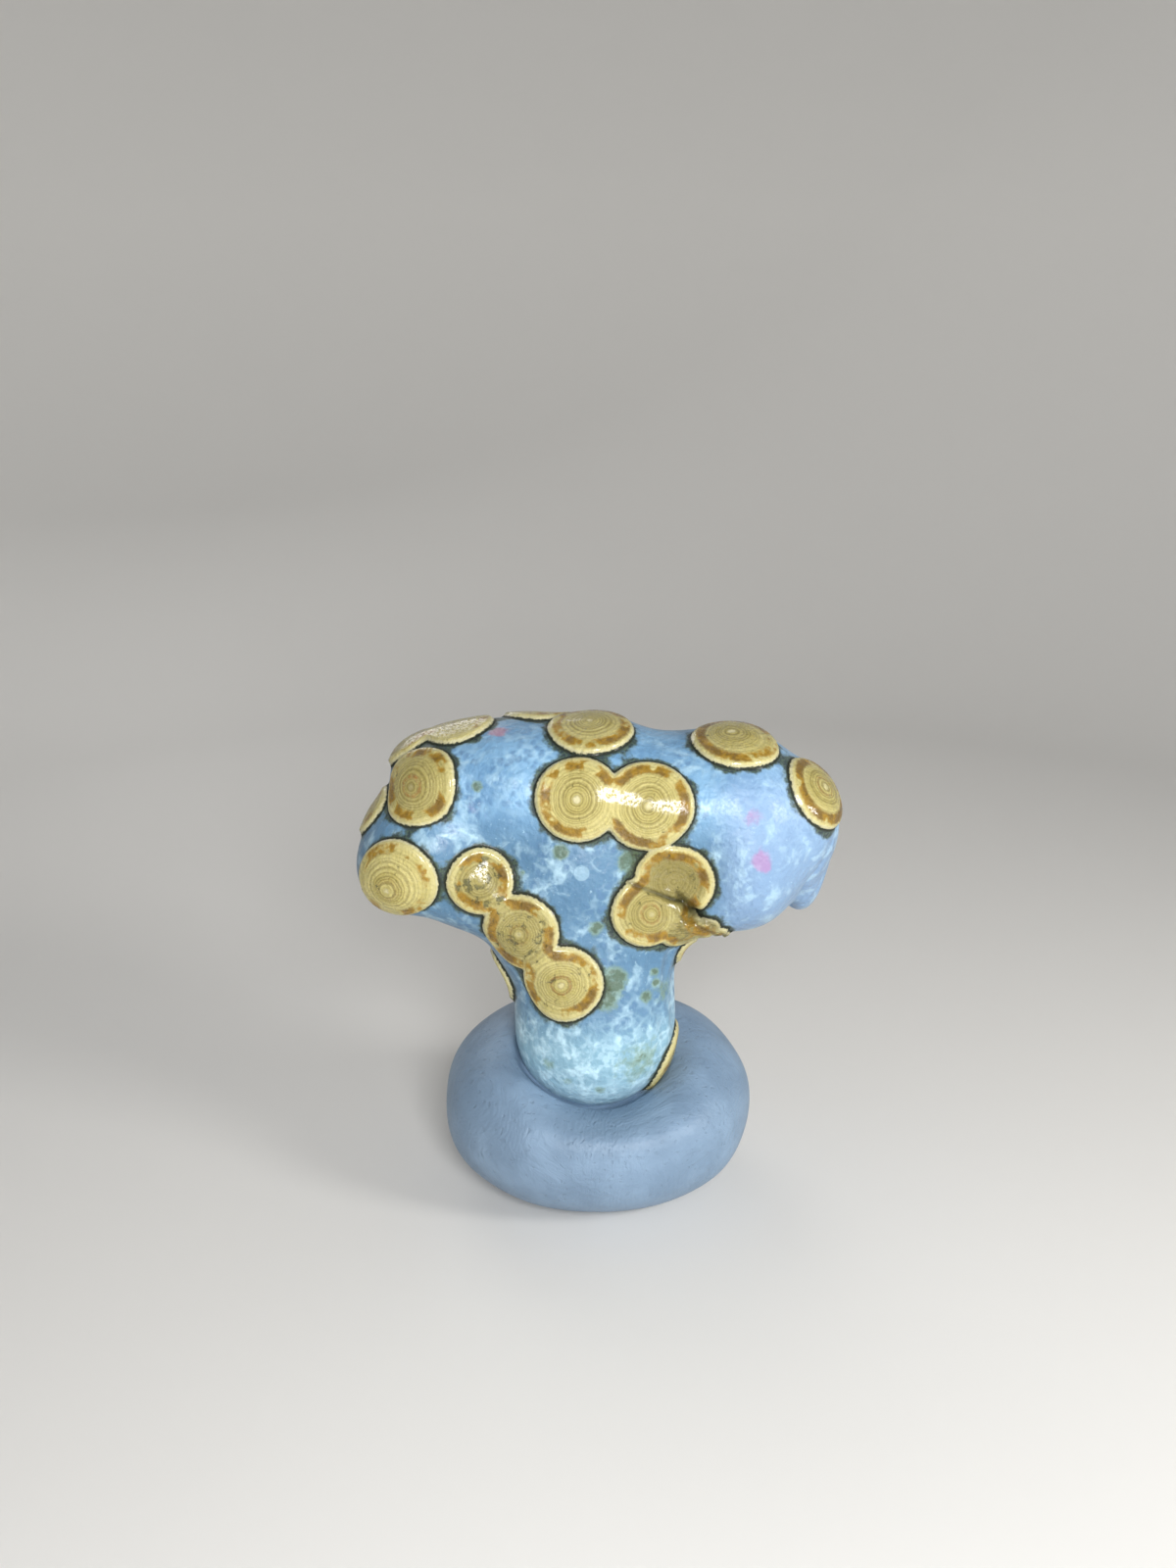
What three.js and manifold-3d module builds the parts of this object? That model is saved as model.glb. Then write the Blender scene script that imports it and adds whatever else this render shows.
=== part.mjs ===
// A mushroom-shaped eye agate that stands in a pressed lump of putty.
// Millimetres, +Z up, front towards -Y. The origin is the middle of the putty's flat base,
// and the dimensions below are measured from a point on that base close to it.
import * as THREE from 'three';
import { mergeVertices } from 'three/addons/utils/BufferGeometryUtils.js';
import Module from 'manifold-3d';

const wasm = await Module();
wasm.setup();

// Driving dimensions of the stone. It leans back a little, so the lobes' middles move
// to +Y with height. Each lobe is [middle x, y, z, radius x, y, z].
const lobes = {
  leftEnd: [-16.0, 0.0, 28.5, 3.5, 4.5, 3.2],
  leftMiddle: [-13.5, 1.5, 31.0, 4.5, 5.5, 3.5],
  leftTop: [-12.2, 3.0, 36.2, 4.4, 5.0, 2.4],
  crownLeft: [-6.5, 2.5, 35.0, 6.0, 6.0, 4.8],
  crownRight: [0.0, 2.5, 35.0, 4.5, 6.0, 5.0],
  core: [-2.0, 1.0, 28.5, 6.5, 6.0, 5.5],
  band: [5.5, 2.0, 33.5, 5.0, 6.0, 4.8],
  rightTop: [11.0, 2.5, 34.2, 4.8, 6.0, 5.0],
  rightBulb: [12.0, 0.5, 29.0, 4.0, 5.5, 5.3],
  rightShoulder: [16.5, 2.5, 32.0, 2.7, 4.5, 3.7],
  rightKnob: [17.0, 4.5, 26.5, 1.5, 2.5, 3.2],
  underFold: [7.5, 0.5, 25.8, 2.8, 4.5, 1.9],
  flareLeft: [-9.5, 0.5, 26.5, 4.0, 5.0, 2.8],
  flareLow: [-4.5, 0.0, 23.0, 3.7, 5.0, 4.0],
  flareRight: [2.7, 0.5, 24.0, 3.0, 5.0, 3.7],
  neck: [-0.2, -0.5, 18.2, 5.5, 5.0, 6.0],
  foot: [-0.5, -1.5, 14.0, 6.1, 5.2, 5.7],
};
const lobeBlend = 1.5;              // how widely neighbouring lobes melt into each other
const heart = [-1.0, 1.0, 27.5];    // a point that sees the whole surface
const footFlat = 8.3;               // height of the small flat spot under the foot
const stoneDetail = 18;             // rows across each face of the starting icosahedron

// Ring markings, the "eyes": raised round buttons. Each is [x, y, z, radius],
// a point close to the surface, which is then drawn onto it.
const eyes = {
  browLeft: [-1.8, -4.0, 35.6, 3.4],
  browRight: [3.7, -4.2, 35.1, 3.6],
  foldUpper: [5.8, -3.9, 28.8, 3.3],
  foldLower: [3.9, -4.8, 26.3, 3.0],
  foldTail: [6.6, -4.4, 24.6, 1.9],
  foldTip: [8.9, -3.6, 24.4, 1.4],
  chainUpper: [-9.5, -4.4, 29.0, 2.7],
  chainMiddle: [-6.3, -5.2, 24.9, 3.15],
  chainLower: [-3.0, -5.7, 20.8, 3.25],
  leftUpper: [-14.4, -2.0, 36.1, 3.35],
  leftLower: [-16.2, -4.7, 29.0, 3.5],
  topMiddle: [-0.8, 0.8, 40.1, 3.5],
  topRight: [10.8, 0.7, 39.1, 3.6],
  rightEnd: [17.7, -0.3, 35.2, 3.3],
  topLeft: [-11.4, 2.6, 39.4, 2.9],
  topFarLeft: [-15.4, 3.0, 37.8, 2.3],
  topBack: [-5.0, 5.4, 40.0, 3.0],
  leftEdge: [-18.4, 1.2, 33.0, 2.3],
  neckLeft: [-7.0, 0.2, 19.6, 2.7],
  footRight: [5.2, -0.8, 11.8, 3.5],
  neckRight: [6.0, -0.8, 22.4, 1.6],
  backLeft: [-12.0, 7.0, 32.6, 3.4],
  backCrown: [-5.6, 8.4, 35.4, 3.1],
  backMiddle: [-4.4, 7.2, 28.6, 3.4],
  backRight: [2.4, 8.2, 33.2, 3.4],
  backRightTwin: [8.2, 8.4, 35.2, 3.0],
  backBulb: [13.2, 6.6, 29.6, 3.4],
  backNeck: [1.0, 5.6, 22.4, 3.1],
  backFoot: [-2.6, 4.4, 17.2, 3.0],
  backUnder: [-14.2, 4.4, 27.2, 2.8],
};
const eyeRise = 0.4;                // height of a button above the blue stone
const eyeDome = 0.12;               // extra height at the middle of a button
const wallInner = 0.35;             // the wall's top edge, inside the radius
const wallOuter = 0.15;             // the wall's foot, outside the radius
const snapReach = 0.7;              // how far a mesh point moves to lie on a wall edge

// The narrow fold between the middle and the right bulb, point by point.
const fold = [
  [5.9, -4.0, 28.0],
  [6.8, -4.6, 26.9],
  [7.4, -4.7, 26.2],
  [8.9, -4.4, 25.3],
  [10.6, -2.2, 23.5],
];
const foldDepth = 1.0;
const foldWidth = 0.75;

// The putty: a squashed lump with a flat base and a dish pressed in its top.
const lumpMiddle = [-0.2, 1.2, 7.1];
const lumpRadii = [13.0, 12.0, 8.3];
const lumpRoundness = 2.2;          // 2 is an ellipsoid, more is boxier
const lumpDetail = 8;
const dishMiddle = [0.3, -3.0];
const dishRadius = 6.8;
const dishDepth = 5.6;
const dishBlend = 4.0;              // height over which the dish fades out downwards
const gap = 0.3;                    // clearance between the stone and its socket

// Distance to the stone's smooth body, negative inside: the lobes' distances
// melted together with a soft minimum.
function bodyDistance(x, y, z, blend) {
  let sum = 0;
  for (const [cx, cy, cz, rx, ry, rz] of Object.values(lobes)) {
    const [dx, dy, dz] = [x - cx, y - cy, z - cz];
    const k0 = Math.hypot(dx / rx, dy / ry, dz / rz);
    const k1 = Math.max(Math.hypot(dx / rx ** 2, dy / ry ** 2, dz / rz ** 2), 1e-9);
    sum += Math.exp((-k0 * (k0 - 1)) / k1 / blend);
  }
  return -blend * Math.log(sum);
}

function bodyNormal(p, blend, target = new THREE.Vector3()) {
  const h = 0.01;
  return target.set(
    bodyDistance(p.x + h, p.y, p.z, blend) - bodyDistance(p.x - h, p.y, p.z, blend),
    bodyDistance(p.x, p.y + h, p.z, blend) - bodyDistance(p.x, p.y - h, p.z, blend),
    bodyDistance(p.x, p.y, p.z + h, blend) - bodyDistance(p.x, p.y, p.z - h, blend),
  ).divideScalar(2 * h);
}

// Draw a point onto the body along the slope of the distance.
function settle(p, blend, rounds = 2) {
  for (let i = 0; i < rounds; i++) {
    const slope = bodyNormal(p, blend);
    p.addScaledVector(slope, -bodyDistance(p.x, p.y, p.z, blend) / slope.lengthSq());
  }
  return p;
}

const smoothStep = (t) => t * t * (3 - 2 * t);

function icosahedron(detail) {
  const geometry = new THREE.IcosahedronGeometry(1, detail);
  geometry.deleteAttribute('normal');
  geometry.deleteAttribute('uv');
  return mergeVertices(geometry, 1e-5);
}

function pointsOf(geometry) {
  const position = geometry.getAttribute('position');
  const pointAt = (_, i) => new THREE.Vector3().fromBufferAttribute(position, i);
  return Array.from({ length: position.count }, pointAt);
}

function withPoints(geometry, points) {
  const result = new THREE.BufferGeometry().setFromPoints(points);
  result.setIndex(geometry.getIndex().clone());
  return result;
}

function neighboursOf(geometry, count) {
  const index = geometry.getIndex().array;
  const near = Array.from({ length: count }, () => new Set());
  for (let i = 0; i < index.length; i += 3) {
    for (let j = 0; j < 3; j++) {
      near[index[i + j]].add(index[i + ((j + 1) % 3)]).add(index[i + ((j + 2) % 3)]);
    }
  }
  return near;
}

// Shoot a ray out of the heart and halve the step until it meets the body.
function shoot(direction, blend) {
  let [low, high] = [0, 40];
  for (let i = 0; i < 30; i++) {
    const middle = (low + high) / 2;
    const [x, y, z] = direction.toArray().map((d, axis) => heart[axis] + d * middle);
    if (bodyDistance(x, y, z, blend) < 0) low = middle;
    else high = middle;
  }
  return direction.clone().multiplyScalar(low).add(new THREE.Vector3(...heart));
}

// Even out the spacing along the surface, then draw each point back onto it.
function relax(points, near, blend, rounds) {
  const amount = 0.5;
  for (let round = 0; round < rounds; round++) {
    const moved = points.map((p, i) => {
      const step = new THREE.Vector3();
      for (const j of near[i]) step.add(points[j]);
      step.divideScalar(near[i].size).sub(p);
      const normal = bodyNormal(p, blend).normalize();
      step.addScaledVector(normal, -step.dot(normal));
      return p.clone().addScaledVector(step, amount);
    });
    moved.forEach((p, i) => points[i].copy(settle(p, blend)));
  }
}

// The blue body: start nearly star-shaped with a wide blend, then tighten it.
function bodyPoints(geometry) {
  const wideBlend = 2.6;
  const points = pointsOf(geometry).map((p) => shoot(p.normalize(), wideBlend));
  const near = neighboursOf(geometry, points.length);
  for (const blend of [wideBlend, 2.0, lobeBlend]) relax(points, near, blend, 5);
  relax(points, near, lobeBlend, 6);
  return points;
}

const eyeList = Object.values(eyes).map(([x, y, z, radius]) => ({
  centre: settle(new THREE.Vector3(x, y, z), lobeBlend, 6),
  radius,
}));

// Depth inside the nearest button's rim, negative outside, and that button.
function rimDepth(p) {
  let best = { depth: -Infinity };
  for (const eye of eyeList) {
    const depth = eye.radius - p.distanceTo(eye.centre);
    if (depth > best.depth) best = { depth, eye };
  }
  return best;
}

// Move points near a rim onto the wall's top edge or its foot, so the wall is crisp.
function snapToWall(p) {
  const { depth, eye } = rimDepth(p);
  const wallMiddle = (wallInner - wallOuter) / 2;
  if (Math.abs(depth - wallMiddle) > snapReach) return p;
  const wanted = depth > wallMiddle ? wallInner : -wallOuter;
  const outward = p.clone().sub(eye.centre).normalize();
  return settle(p.addScaledVector(outward, depth - wanted), lobeBlend);
}

function buttonHeight(p) {
  const { depth, eye } = rimDepth(p);
  const rise = THREE.MathUtils.clamp((depth + wallOuter) / (wallInner + wallOuter), 0, 1);
  const across = THREE.MathUtils.clamp(depth / eye.radius, 0, 1);
  return rise * (eyeRise + eyeDome * across);
}

function foldCut(p) {
  let nearest = Infinity;
  const onLine = new THREE.Vector3();
  for (let i = 1; i < fold.length; i++) {
    const line = new THREE.Line3(new THREE.Vector3(...fold[i - 1]), new THREE.Vector3(...fold[i]));
    nearest = Math.min(nearest, line.closestPointToPoint(p, true, onLine).distanceTo(p));
  }
  return foldDepth * Math.exp(-((nearest / foldWidth) ** 2));
}

// The stone's surface, moved out by a margin for the socket's tool.
function stoneGeometry(base, body, margin) {
  const points = body.map((p) => {
    const normal = bodyNormal(p, lobeBlend).normalize();
    const moved = p.clone().addScaledVector(normal, buttonHeight(p) - foldCut(p) + margin);
    moved.z = Math.max(moved.z, footFlat - margin);
    return moved;
  });
  return withPoints(base, points);
}

// The putty's outside: a superellipsoid, |x/a|^n + |y/b|^n + |z/c|^n = 1,
// lowered around the foot by a bell-shaped dish and cut flat at the base.
function lumpGeometry() {
  const base = icosahedron(lumpDetail);
  const points = pointsOf(base).map((d) => {
    const parts = d.toArray().map((v, axis) => Math.abs(v / lumpRadii[axis]) ** lumpRoundness);
    const reach = (parts[0] + parts[1] + parts[2]) ** (-1 / lumpRoundness);
    const [x, y, z] = d.toArray().map((v, axis) => v * reach + lumpMiddle[axis]);
    const fade = smoothStep(THREE.MathUtils.clamp((z - lumpMiddle[2]) / dishBlend, 0, 1));
    const away = Math.hypot(x - dishMiddle[0], y - dishMiddle[1]) / dishRadius;
    return new THREE.Vector3(x, y, Math.max(z - dishDepth * fade * Math.exp(-(away ** 2)), 0));
  });
  return withPoints(base, points);
}

function toSolid(geometry) {
  return new wasm.Manifold(new wasm.Mesh({
    numProp: 3,
    vertProperties: new Float32Array(geometry.getAttribute('position').array),
    triVerts: new Uint32Array(geometry.getIndex().array),
  }));
}

function toGeometry(solid) {
  const { vertProperties, triVerts } = solid.getMesh();
  const geometry = new THREE.BufferGeometry();
  geometry.setAttribute('position', new THREE.BufferAttribute(vertProperties, 3));
  geometry.setIndex(new THREE.BufferAttribute(triVerts, 1));
  return geometry;
}

function mesh(name, geometry, finish) {
  geometry.computeVertexNormals();
  const result = new THREE.Mesh(geometry, new THREE.MeshStandardMaterial(finish));
  result.name = name;
  return result;
}

const base = icosahedron(stoneDetail);
const body = bodyPoints(base).map(snapToWall);
const stone = stoneGeometry(base, body, 0);
const socket = toSolid(stoneGeometry(base, body, gap));
const putty = toGeometry(toSolid(lumpGeometry()).subtract(socket));

const group = new THREE.Group();
group.position.set(-lumpMiddle[0], -lumpMiddle[1], 0);
group.add(
  mesh('agate_stone', stone, { color: 0x9bc8eb, roughness: 0.25, metalness: 0 }),
  mesh('putty_lump', putty, { color: 0x8b9db0, roughness: 0.8, metalness: 0 }),
);

export default group;
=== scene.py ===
import math
import bpy
import numpy as np
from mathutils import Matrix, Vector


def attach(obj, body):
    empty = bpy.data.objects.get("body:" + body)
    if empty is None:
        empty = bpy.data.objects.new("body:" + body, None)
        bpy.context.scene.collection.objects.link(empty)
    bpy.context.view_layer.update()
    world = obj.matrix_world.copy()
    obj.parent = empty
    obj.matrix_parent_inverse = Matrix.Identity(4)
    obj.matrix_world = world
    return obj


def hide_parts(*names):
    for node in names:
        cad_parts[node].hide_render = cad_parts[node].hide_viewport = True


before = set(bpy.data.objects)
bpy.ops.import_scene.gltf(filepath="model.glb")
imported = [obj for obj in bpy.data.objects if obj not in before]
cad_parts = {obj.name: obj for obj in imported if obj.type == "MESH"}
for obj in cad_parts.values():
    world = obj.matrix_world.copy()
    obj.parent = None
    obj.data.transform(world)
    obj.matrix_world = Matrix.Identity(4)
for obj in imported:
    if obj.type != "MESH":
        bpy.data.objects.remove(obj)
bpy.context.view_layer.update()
mm = 0.001  # metres in a millimetre: shapes are worked out in millimetres


# The eye agate in its lump of putty. Front is -Y, up is +Z.

def srgb(red, green, blue):
    # a screen colour, 0 to 255, as linear light
    c = np.array((red, green, blue)) / 255
    low, high = c / 12.92, ((c + 0.055) / 1.055) ** 2.4
    return (*np.where(c <= 0.04045, low, high).tolist(), 1.0)


# Shapes of arrays

def cubeDirections(rows):
    # Six square grids on a cube's faces, pushed out to the unit sphere. The tangent
    # spacing keeps the steps even. Gives the directions and the quads, face by face.
    t = np.tan(np.linspace(-math.pi / 4, math.pi / 4, rows + 1))
    u, v = np.meshgrid(t, t, indexing="ij")
    one = np.ones_like(u)
    faces = [(one, u, v), (-one, v, u), (v, one, u), (u, -one, v), (u, v, one), (v, u, -one)]
    points = np.stack([np.stack(f, -1) for f in faces])
    points /= np.linalg.norm(points, axis=-1, keepdims=True)
    index = np.arange((rows + 1) ** 2).reshape(rows + 1, rows + 1)
    quad = np.stack([index[:-1, :-1], index[1:, :-1], index[1:, 1:], index[:-1, 1:]], -1)
    quads = quad.reshape(1, -1, 4) + (np.arange(6) * (rows + 1) ** 2)[:, None, None]
    return points, quads.reshape(-1, 4)


def weld(directions, quads):
    # the faces share their edges: gives one of each point, and the quads on those
    flat = directions.reshape(-1, 3)
    _, first, back = np.unique(np.round(flat, 6), axis=0, return_index=True, return_inverse=True)
    back = back.reshape(-1)
    return first, back, back[quads]


def finer(grids, times):
    # straight-line interpolation of each face's grid, times as many rows
    rows = grids.shape[1] - 1
    at = np.arange(rows * times + 1) / times
    low = np.minimum(at.astype(int), rows - 1)
    part = (at - low)[:, None]
    grids = grids[:, low] * (1 - part)[None, :, None] + grids[:, low + 1] * part[None, :, None]
    return grids[:, :, low] * (1 - part)[None, None] + grids[:, :, low + 1] * part[None, None]


def neighbourMean(points, quads):
    # the middle of each point's neighbours along the quads' edges
    ends = np.concatenate([quads[:, [i, (i + 1) % 4]] for i in range(4)])
    a, b = ends.T
    count = np.bincount(a, minlength=len(points)) + np.bincount(b, minlength=len(points))
    sums = [np.bincount(a, points[b, k], len(points)) + np.bincount(b, points[a, k], len(points))
            for k in range(3)]
    return np.stack(sums, -1) / count[:, None]


def smoothStep(low, high, x):
    # 0 at low and 1 at high, smooth between; low may be the larger
    t = np.clip((x - low) / (high - low), 0, 1)
    return t * t * (3 - 2 * t)


def waves(points, length, seed, count=5):
    # a gentle lumpiness: the mean of some sine waves in seeded directions, -1 to 1
    random = np.random.default_rng(seed)
    total = 0
    for _ in range(count):
        direction = random.normal(size=3)
        direction *= 2 * math.pi / length / np.linalg.norm(direction)
        total = total + np.sin(points @ direction + random.uniform(0, 2 * math.pi))
    return total / count


def alongPath(points, path):
    # distance to a line through the path's points, and how far along it, 0 to 1
    best, share = np.full(len(points), np.inf), np.zeros(len(points))
    pieces = len(path) - 1
    for k in range(pieces):
        start, along = np.array(path[k]), np.array(path[k + 1]) - np.array(path[k])
        t = np.clip((points - start) @ along / (along @ along), 0, 1)
        away = np.linalg.norm(points - start - t[:, None] * along, axis=1)
        share = np.where(away < best, (k + t) / pieces, share)
        best = np.minimum(best, away)
    return best, share


def rimPoints(points, quads, depth):
    # where the quads' edges cross the rims, found by straight-line interpolation
    ends = np.concatenate([quads[:, [i, (i + 1) % 4]] for i in range(4)])
    a, b = ends[(depth[ends[:, 0]] < 0) & (depth[ends[:, 1]] >= 0)].T
    t = depth[a] / (depth[a] - depth[b])
    return points[a] + t[:, None] * (points[b] - points[a])


def nearestDistance(points, others, blockSize=400):
    # distance from each point to the nearest of the others, a block at a time
    blocks = [np.sqrt(((block[:, None] - others[None]) ** 2).sum(-1).min(1))
              for block in np.array_split(points, max(1, len(points) // blockSize))]
    return np.concatenate(blocks)


def makePiece(name, points, quads, attributes, material):
    # a smooth mesh from points in millimetres, with its values for the material
    mesh = bpy.data.meshes.new(name)
    mesh.from_pydata((points * mm).tolist(), [], quads.tolist())
    for key, values in attributes.items():
        kind, field = ("FLOAT", "value") if values.ndim == 1 else ("FLOAT_VECTOR", "vector")
        layer = mesh.attributes.new(key, kind, "POINT")
        layer.data.foreach_set(field, values.astype(np.float32).ravel())
    mesh.shade_smooth()
    mesh.materials.append(material)
    piece = bpy.data.objects.new(name, mesh)
    bpy.context.scene.collection.objects.link(piece)
    return piece


# The agate's body

agate = {
    "shift": (0.2, -1.2, 0.0),      # from the lobes' own frame to the part's
    "lobes": {                      # middle x, y, z and radius x, y, z
        "leftEnd": (-16.0, 0.0, 28.5, 3.5, 4.5, 3.2),
        "leftMiddle": (-13.5, 1.5, 31.0, 4.5, 5.5, 3.5),
        "leftTop": (-12.2, 3.0, 36.2, 4.4, 5.0, 2.4),
        "crownLeft": (-6.5, 2.5, 35.0, 6.0, 6.0, 4.8),
        "crownRight": (0.0, 2.5, 35.0, 4.5, 6.0, 5.0),
        "core": (-2.0, 1.0, 28.5, 6.5, 6.0, 5.5),
        "band": (5.5, 2.0, 33.5, 5.0, 6.0, 4.8),
        "rightTop": (11.0, 2.5, 34.2, 4.8, 6.0, 5.0),
        "rightBulb": (12.0, 0.5, 29.0, 4.0, 5.5, 5.3),
        "rightShoulder": (16.5, 2.5, 32.0, 2.7, 4.5, 3.7),
        "rightKnob": (17.0, 4.5, 26.5, 1.5, 2.5, 3.2),
        "underFold": (7.5, 0.5, 25.8, 2.8, 4.5, 1.9),
        "flareLeft": (-9.5, 0.5, 26.5, 4.0, 5.0, 2.8),
        "flareLow": (-4.5, 0.0, 23.0, 3.7, 5.0, 4.0),
        "flareRight": (2.7, 0.5, 24.0, 3.0, 5.0, 3.7),
        "neck": (-0.2, -0.5, 18.2, 5.5, 5.0, 6.0),
        "foot": (-0.5, -1.5, 14.0, 6.1, 5.2, 5.7),
    },
    "blend": 1.5,                   # how widely the lobes melt together
    "widerBlends": (2.6, 2.0),      # the steps that come before it
    "heart": (-1.0, 1.0, 27.5),     # a point that sees the whole surface
    "farOut": 40.0,                 # outside the surface in every direction
    "halvings": 30,
    "footFlat": 8.3,                # height of the small flat spot under the foot
    "coarseRows": 32,
    "finerTimes": 4,
    "relaxRounds": (6, 10, 4),      # at each blend, after the last one, and on the fine grid
    "lumpHeight": 0.05,             # gentle unevenness of the polished surface
    "lumpLength": 5.0,
    "lumpSeed": 11,
}


def lobeDistance(points, blend):
    # Each lobe's distance is k0 (k0 - 1) / k1, with k0 the length of the offset over the
    # radii and k1 of the offset over their squares. A soft minimum melts them together.
    total = 0
    for cx, cy, cz, rx, ry, rz in agate["lobes"].values():
        offset = points - np.array((cx, cy, cz))
        radii = np.array((rx, ry, rz))
        k0 = np.linalg.norm(offset / radii, axis=-1)
        k1 = np.maximum(np.linalg.norm(offset / radii ** 2, axis=-1), 1e-9)
        total = total + np.exp(-k0 * (k0 - 1) / k1 / blend)
    return -blend * np.log(total)


def lobeSlope(points, blend):
    # the distance and its slope, by small steps along each axis
    step = 0.01
    here = lobeDistance(points, blend)
    ahead = [lobeDistance(points + shift, blend) for shift in np.eye(3) * step]
    return here, np.stack([a - here for a in ahead], -1) / step


def settle(points, blend, rounds=2):
    # draws points onto the body along the slope
    for _ in range(rounds):
        here, slope = lobeSlope(points, blend)
        points = points - slope * (here / (slope ** 2).sum(-1))[:, None]
    return points


def relax(points, quads, blend, rounds):
    # evens the spacing along the surface, half way at a time, and draws the points back
    for _ in range(rounds):
        _, slope = lobeSlope(points, blend)
        normal = slope / np.linalg.norm(slope, axis=-1, keepdims=True)
        step = neighbourMean(points, quads) - points
        step -= normal * (step * normal).sum(-1, keepdims=True)
        points = settle(points + 0.5 * step, blend)
    return points


def agateBody():
    # Rays from the heart are halved until they meet the body with its widest blend.
    # The blend is then tightened in steps, and the grid made finer.
    rows, blend = agate["coarseRows"], agate["blend"]
    widest = agate["widerBlends"][0]
    eachTime, atLast, onFine = agate["relaxRounds"]
    directions, quads = cubeDirections(rows)
    first, back, welded = weld(directions, quads)
    rays = directions.reshape(-1, 3)[first]
    heart = np.array(agate["heart"])
    low, high = np.zeros(len(rays)), np.full(len(rays), agate["farOut"])
    for _ in range(agate["halvings"]):
        middle = (low + high) / 2
        inside = lobeDistance(heart + rays * middle[:, None], widest) < 0
        low, high = np.where(inside, middle, low), np.where(inside, high, middle)
    points = heart + rays * low[:, None]
    for stage in (*agate["widerBlends"], blend):
        points = relax(points, welded, stage, eachTime)
    points = relax(points, welded, blend, atLast)
    grids = finer(points[back].reshape(6, rows + 1, rows + 1, 3), agate["finerTimes"])
    directions, quads = cubeDirections(rows * agate["finerTimes"])
    first, back, welded = weld(directions, quads)
    points = settle(grids.reshape(-1, 3)[first], blend)
    return relax(points, welded, blend, onFine), welded


# The ring markings

markings = {
    # x, y, z close to the surface, radius; then brown, specks, red middle and darkness,
    # each 0 to 1; then the family, which shares one order of rings
    "browLeft": (-1.8, -4.0, 35.6, 3.4, 0.5, 0.0, 0.0, 0.0, 1),
    "browRight": (3.7, -4.2, 35.1, 3.6, 0.9, 0.1, 0.0, 0.0, 1),
    "foldUpper": (5.8, -3.9, 28.8, 3.3, 0.8, 0.3, 0.0, 0.9, 1),
    "foldLower": (3.7, -4.8, 26.6, 2.95, 0.6, 0.3, 0.6, 0.4, 1),
    "foldTail": (6.4, -4.4, 24.9, 1.8, 0.2, 0.5, 0.0, 0.7, 1),
    "foldTip": (8.4, -4.1, 25.0, 1.15, 0.1, 0.3, 0.0, 0.8, 1),
    "foldEnd": (9.5, -3.4, 24.5, 0.75, 0.1, 0.3, 0.0, 0.6, 1),
    "foldPoint": (10.1, -2.7, 23.9, 0.5, 0.1, 0.0, 0.0, 0.4, 1),
    "chainUpper": (-9.5, -4.4, 29.0, 2.7, 0.5, 1.0, 0.0, 0.5, 2),
    "chainMiddle": (-6.3, -5.2, 24.9, 3.15, 0.9, 0.7, 0.3, 0.5, 2),
    "chainLower": (-3.0, -5.7, 20.8, 3.25, 0.7, 0.4, 0.8, 0.1, 2),
    "leftUpper": (-14.4, -2.0, 36.1, 3.35, 0.6, 0.1, 1.0, 0.3, 3),
    "leftLower": (-16.2, -4.7, 29.0, 3.5, 0.2, 0.1, 0.2, 0.0, 4),
    "topMiddle": (-0.8, 0.8, 40.1, 3.5, 0.7, 0.0, 0.0, 0.2, 5),
    "topRight": (10.8, 0.7, 39.1, 3.6, 0.7, 0.1, 0.0, 0.2, 6),
    "rightEnd": (17.7, -0.3, 35.2, 3.3, 1.0, 0.2, 0.5, 0.2, 7),
    "topLeft": (-11.4, 2.6, 39.4, 2.9, 0.1, 0.0, 0.0, 0.0, 8),
    "topFarLeft": (-15.4, 3.0, 37.8, 2.3, 0.3, 0.1, 0.0, 0.4, 8),
    "topBack": (-5.0, 5.4, 40.0, 3.0, 0.4, 0.2, 0.0, 0.2, 9),
    "leftEdge": (-18.4, 1.2, 33.0, 2.3, 0.3, 0.1, 0.3, 0.3, 3),
    "neckLeft": (-7.0, 0.2, 19.6, 2.7, 0.8, 0.3, 0.0, 0.5, 10),
    "footRight": (5.2, -0.8, 11.8, 3.5, 0.5, 0.1, 0.0, 0.9, 11),
    "neckRight": (6.0, -0.8, 22.4, 1.6, 0.4, 0.1, 0.0, 0.9, 12),
    "backLeft": (-12.0, 7.0, 32.6, 3.4, 0.6, 0.2, 0.0, 0.1, 13),
    "backCrown": (-5.6, 8.4, 35.4, 3.1, 0.5, 0.1, 0.6, 0.3, 14),
    "backMiddle": (-4.4, 7.2, 28.6, 3.4, 0.7, 0.4, 0.0, 0.2, 15),
    "backRight": (2.4, 8.2, 33.2, 3.4, 0.5, 0.0, 0.3, 0.0, 16),
    "backRightTwin": (8.2, 8.4, 35.2, 3.0, 0.8, 0.2, 0.0, 0.2, 16),
    "backBulb": (13.2, 6.6, 29.6, 3.4, 0.6, 0.1, 0.7, 0.1, 17),
    "backNeck": (1.0, 5.6, 22.4, 3.1, 0.5, 0.6, 0.0, 0.3, 18),
    "backFoot": (-2.6, 4.4, 17.2, 3.0, 0.6, 0.2, 0.0, 0.2, 19),
    "backUnder": (-14.2, 4.4, 27.2, 2.8, 0.4, 0.1, 0.0, 0.3, 20),
}

wrinkled = ("foldTail", "foldTip", "foldEnd", "foldPoint")     # folded stone, without rings
familySpread = 0.618            # turns a family's number into its seed, 0 to 1

ringShift = {   # where the rings' middle isn't the marking's own
    "leftLower": (-0.5, -0.1, -0.6),
    "leftUpper": (-0.3, 0.0, -0.2),
    "topRight": (-0.4, 0.0, 0.2),
    "foldLower": (0.2, 0.0, -0.3),
}

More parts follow.
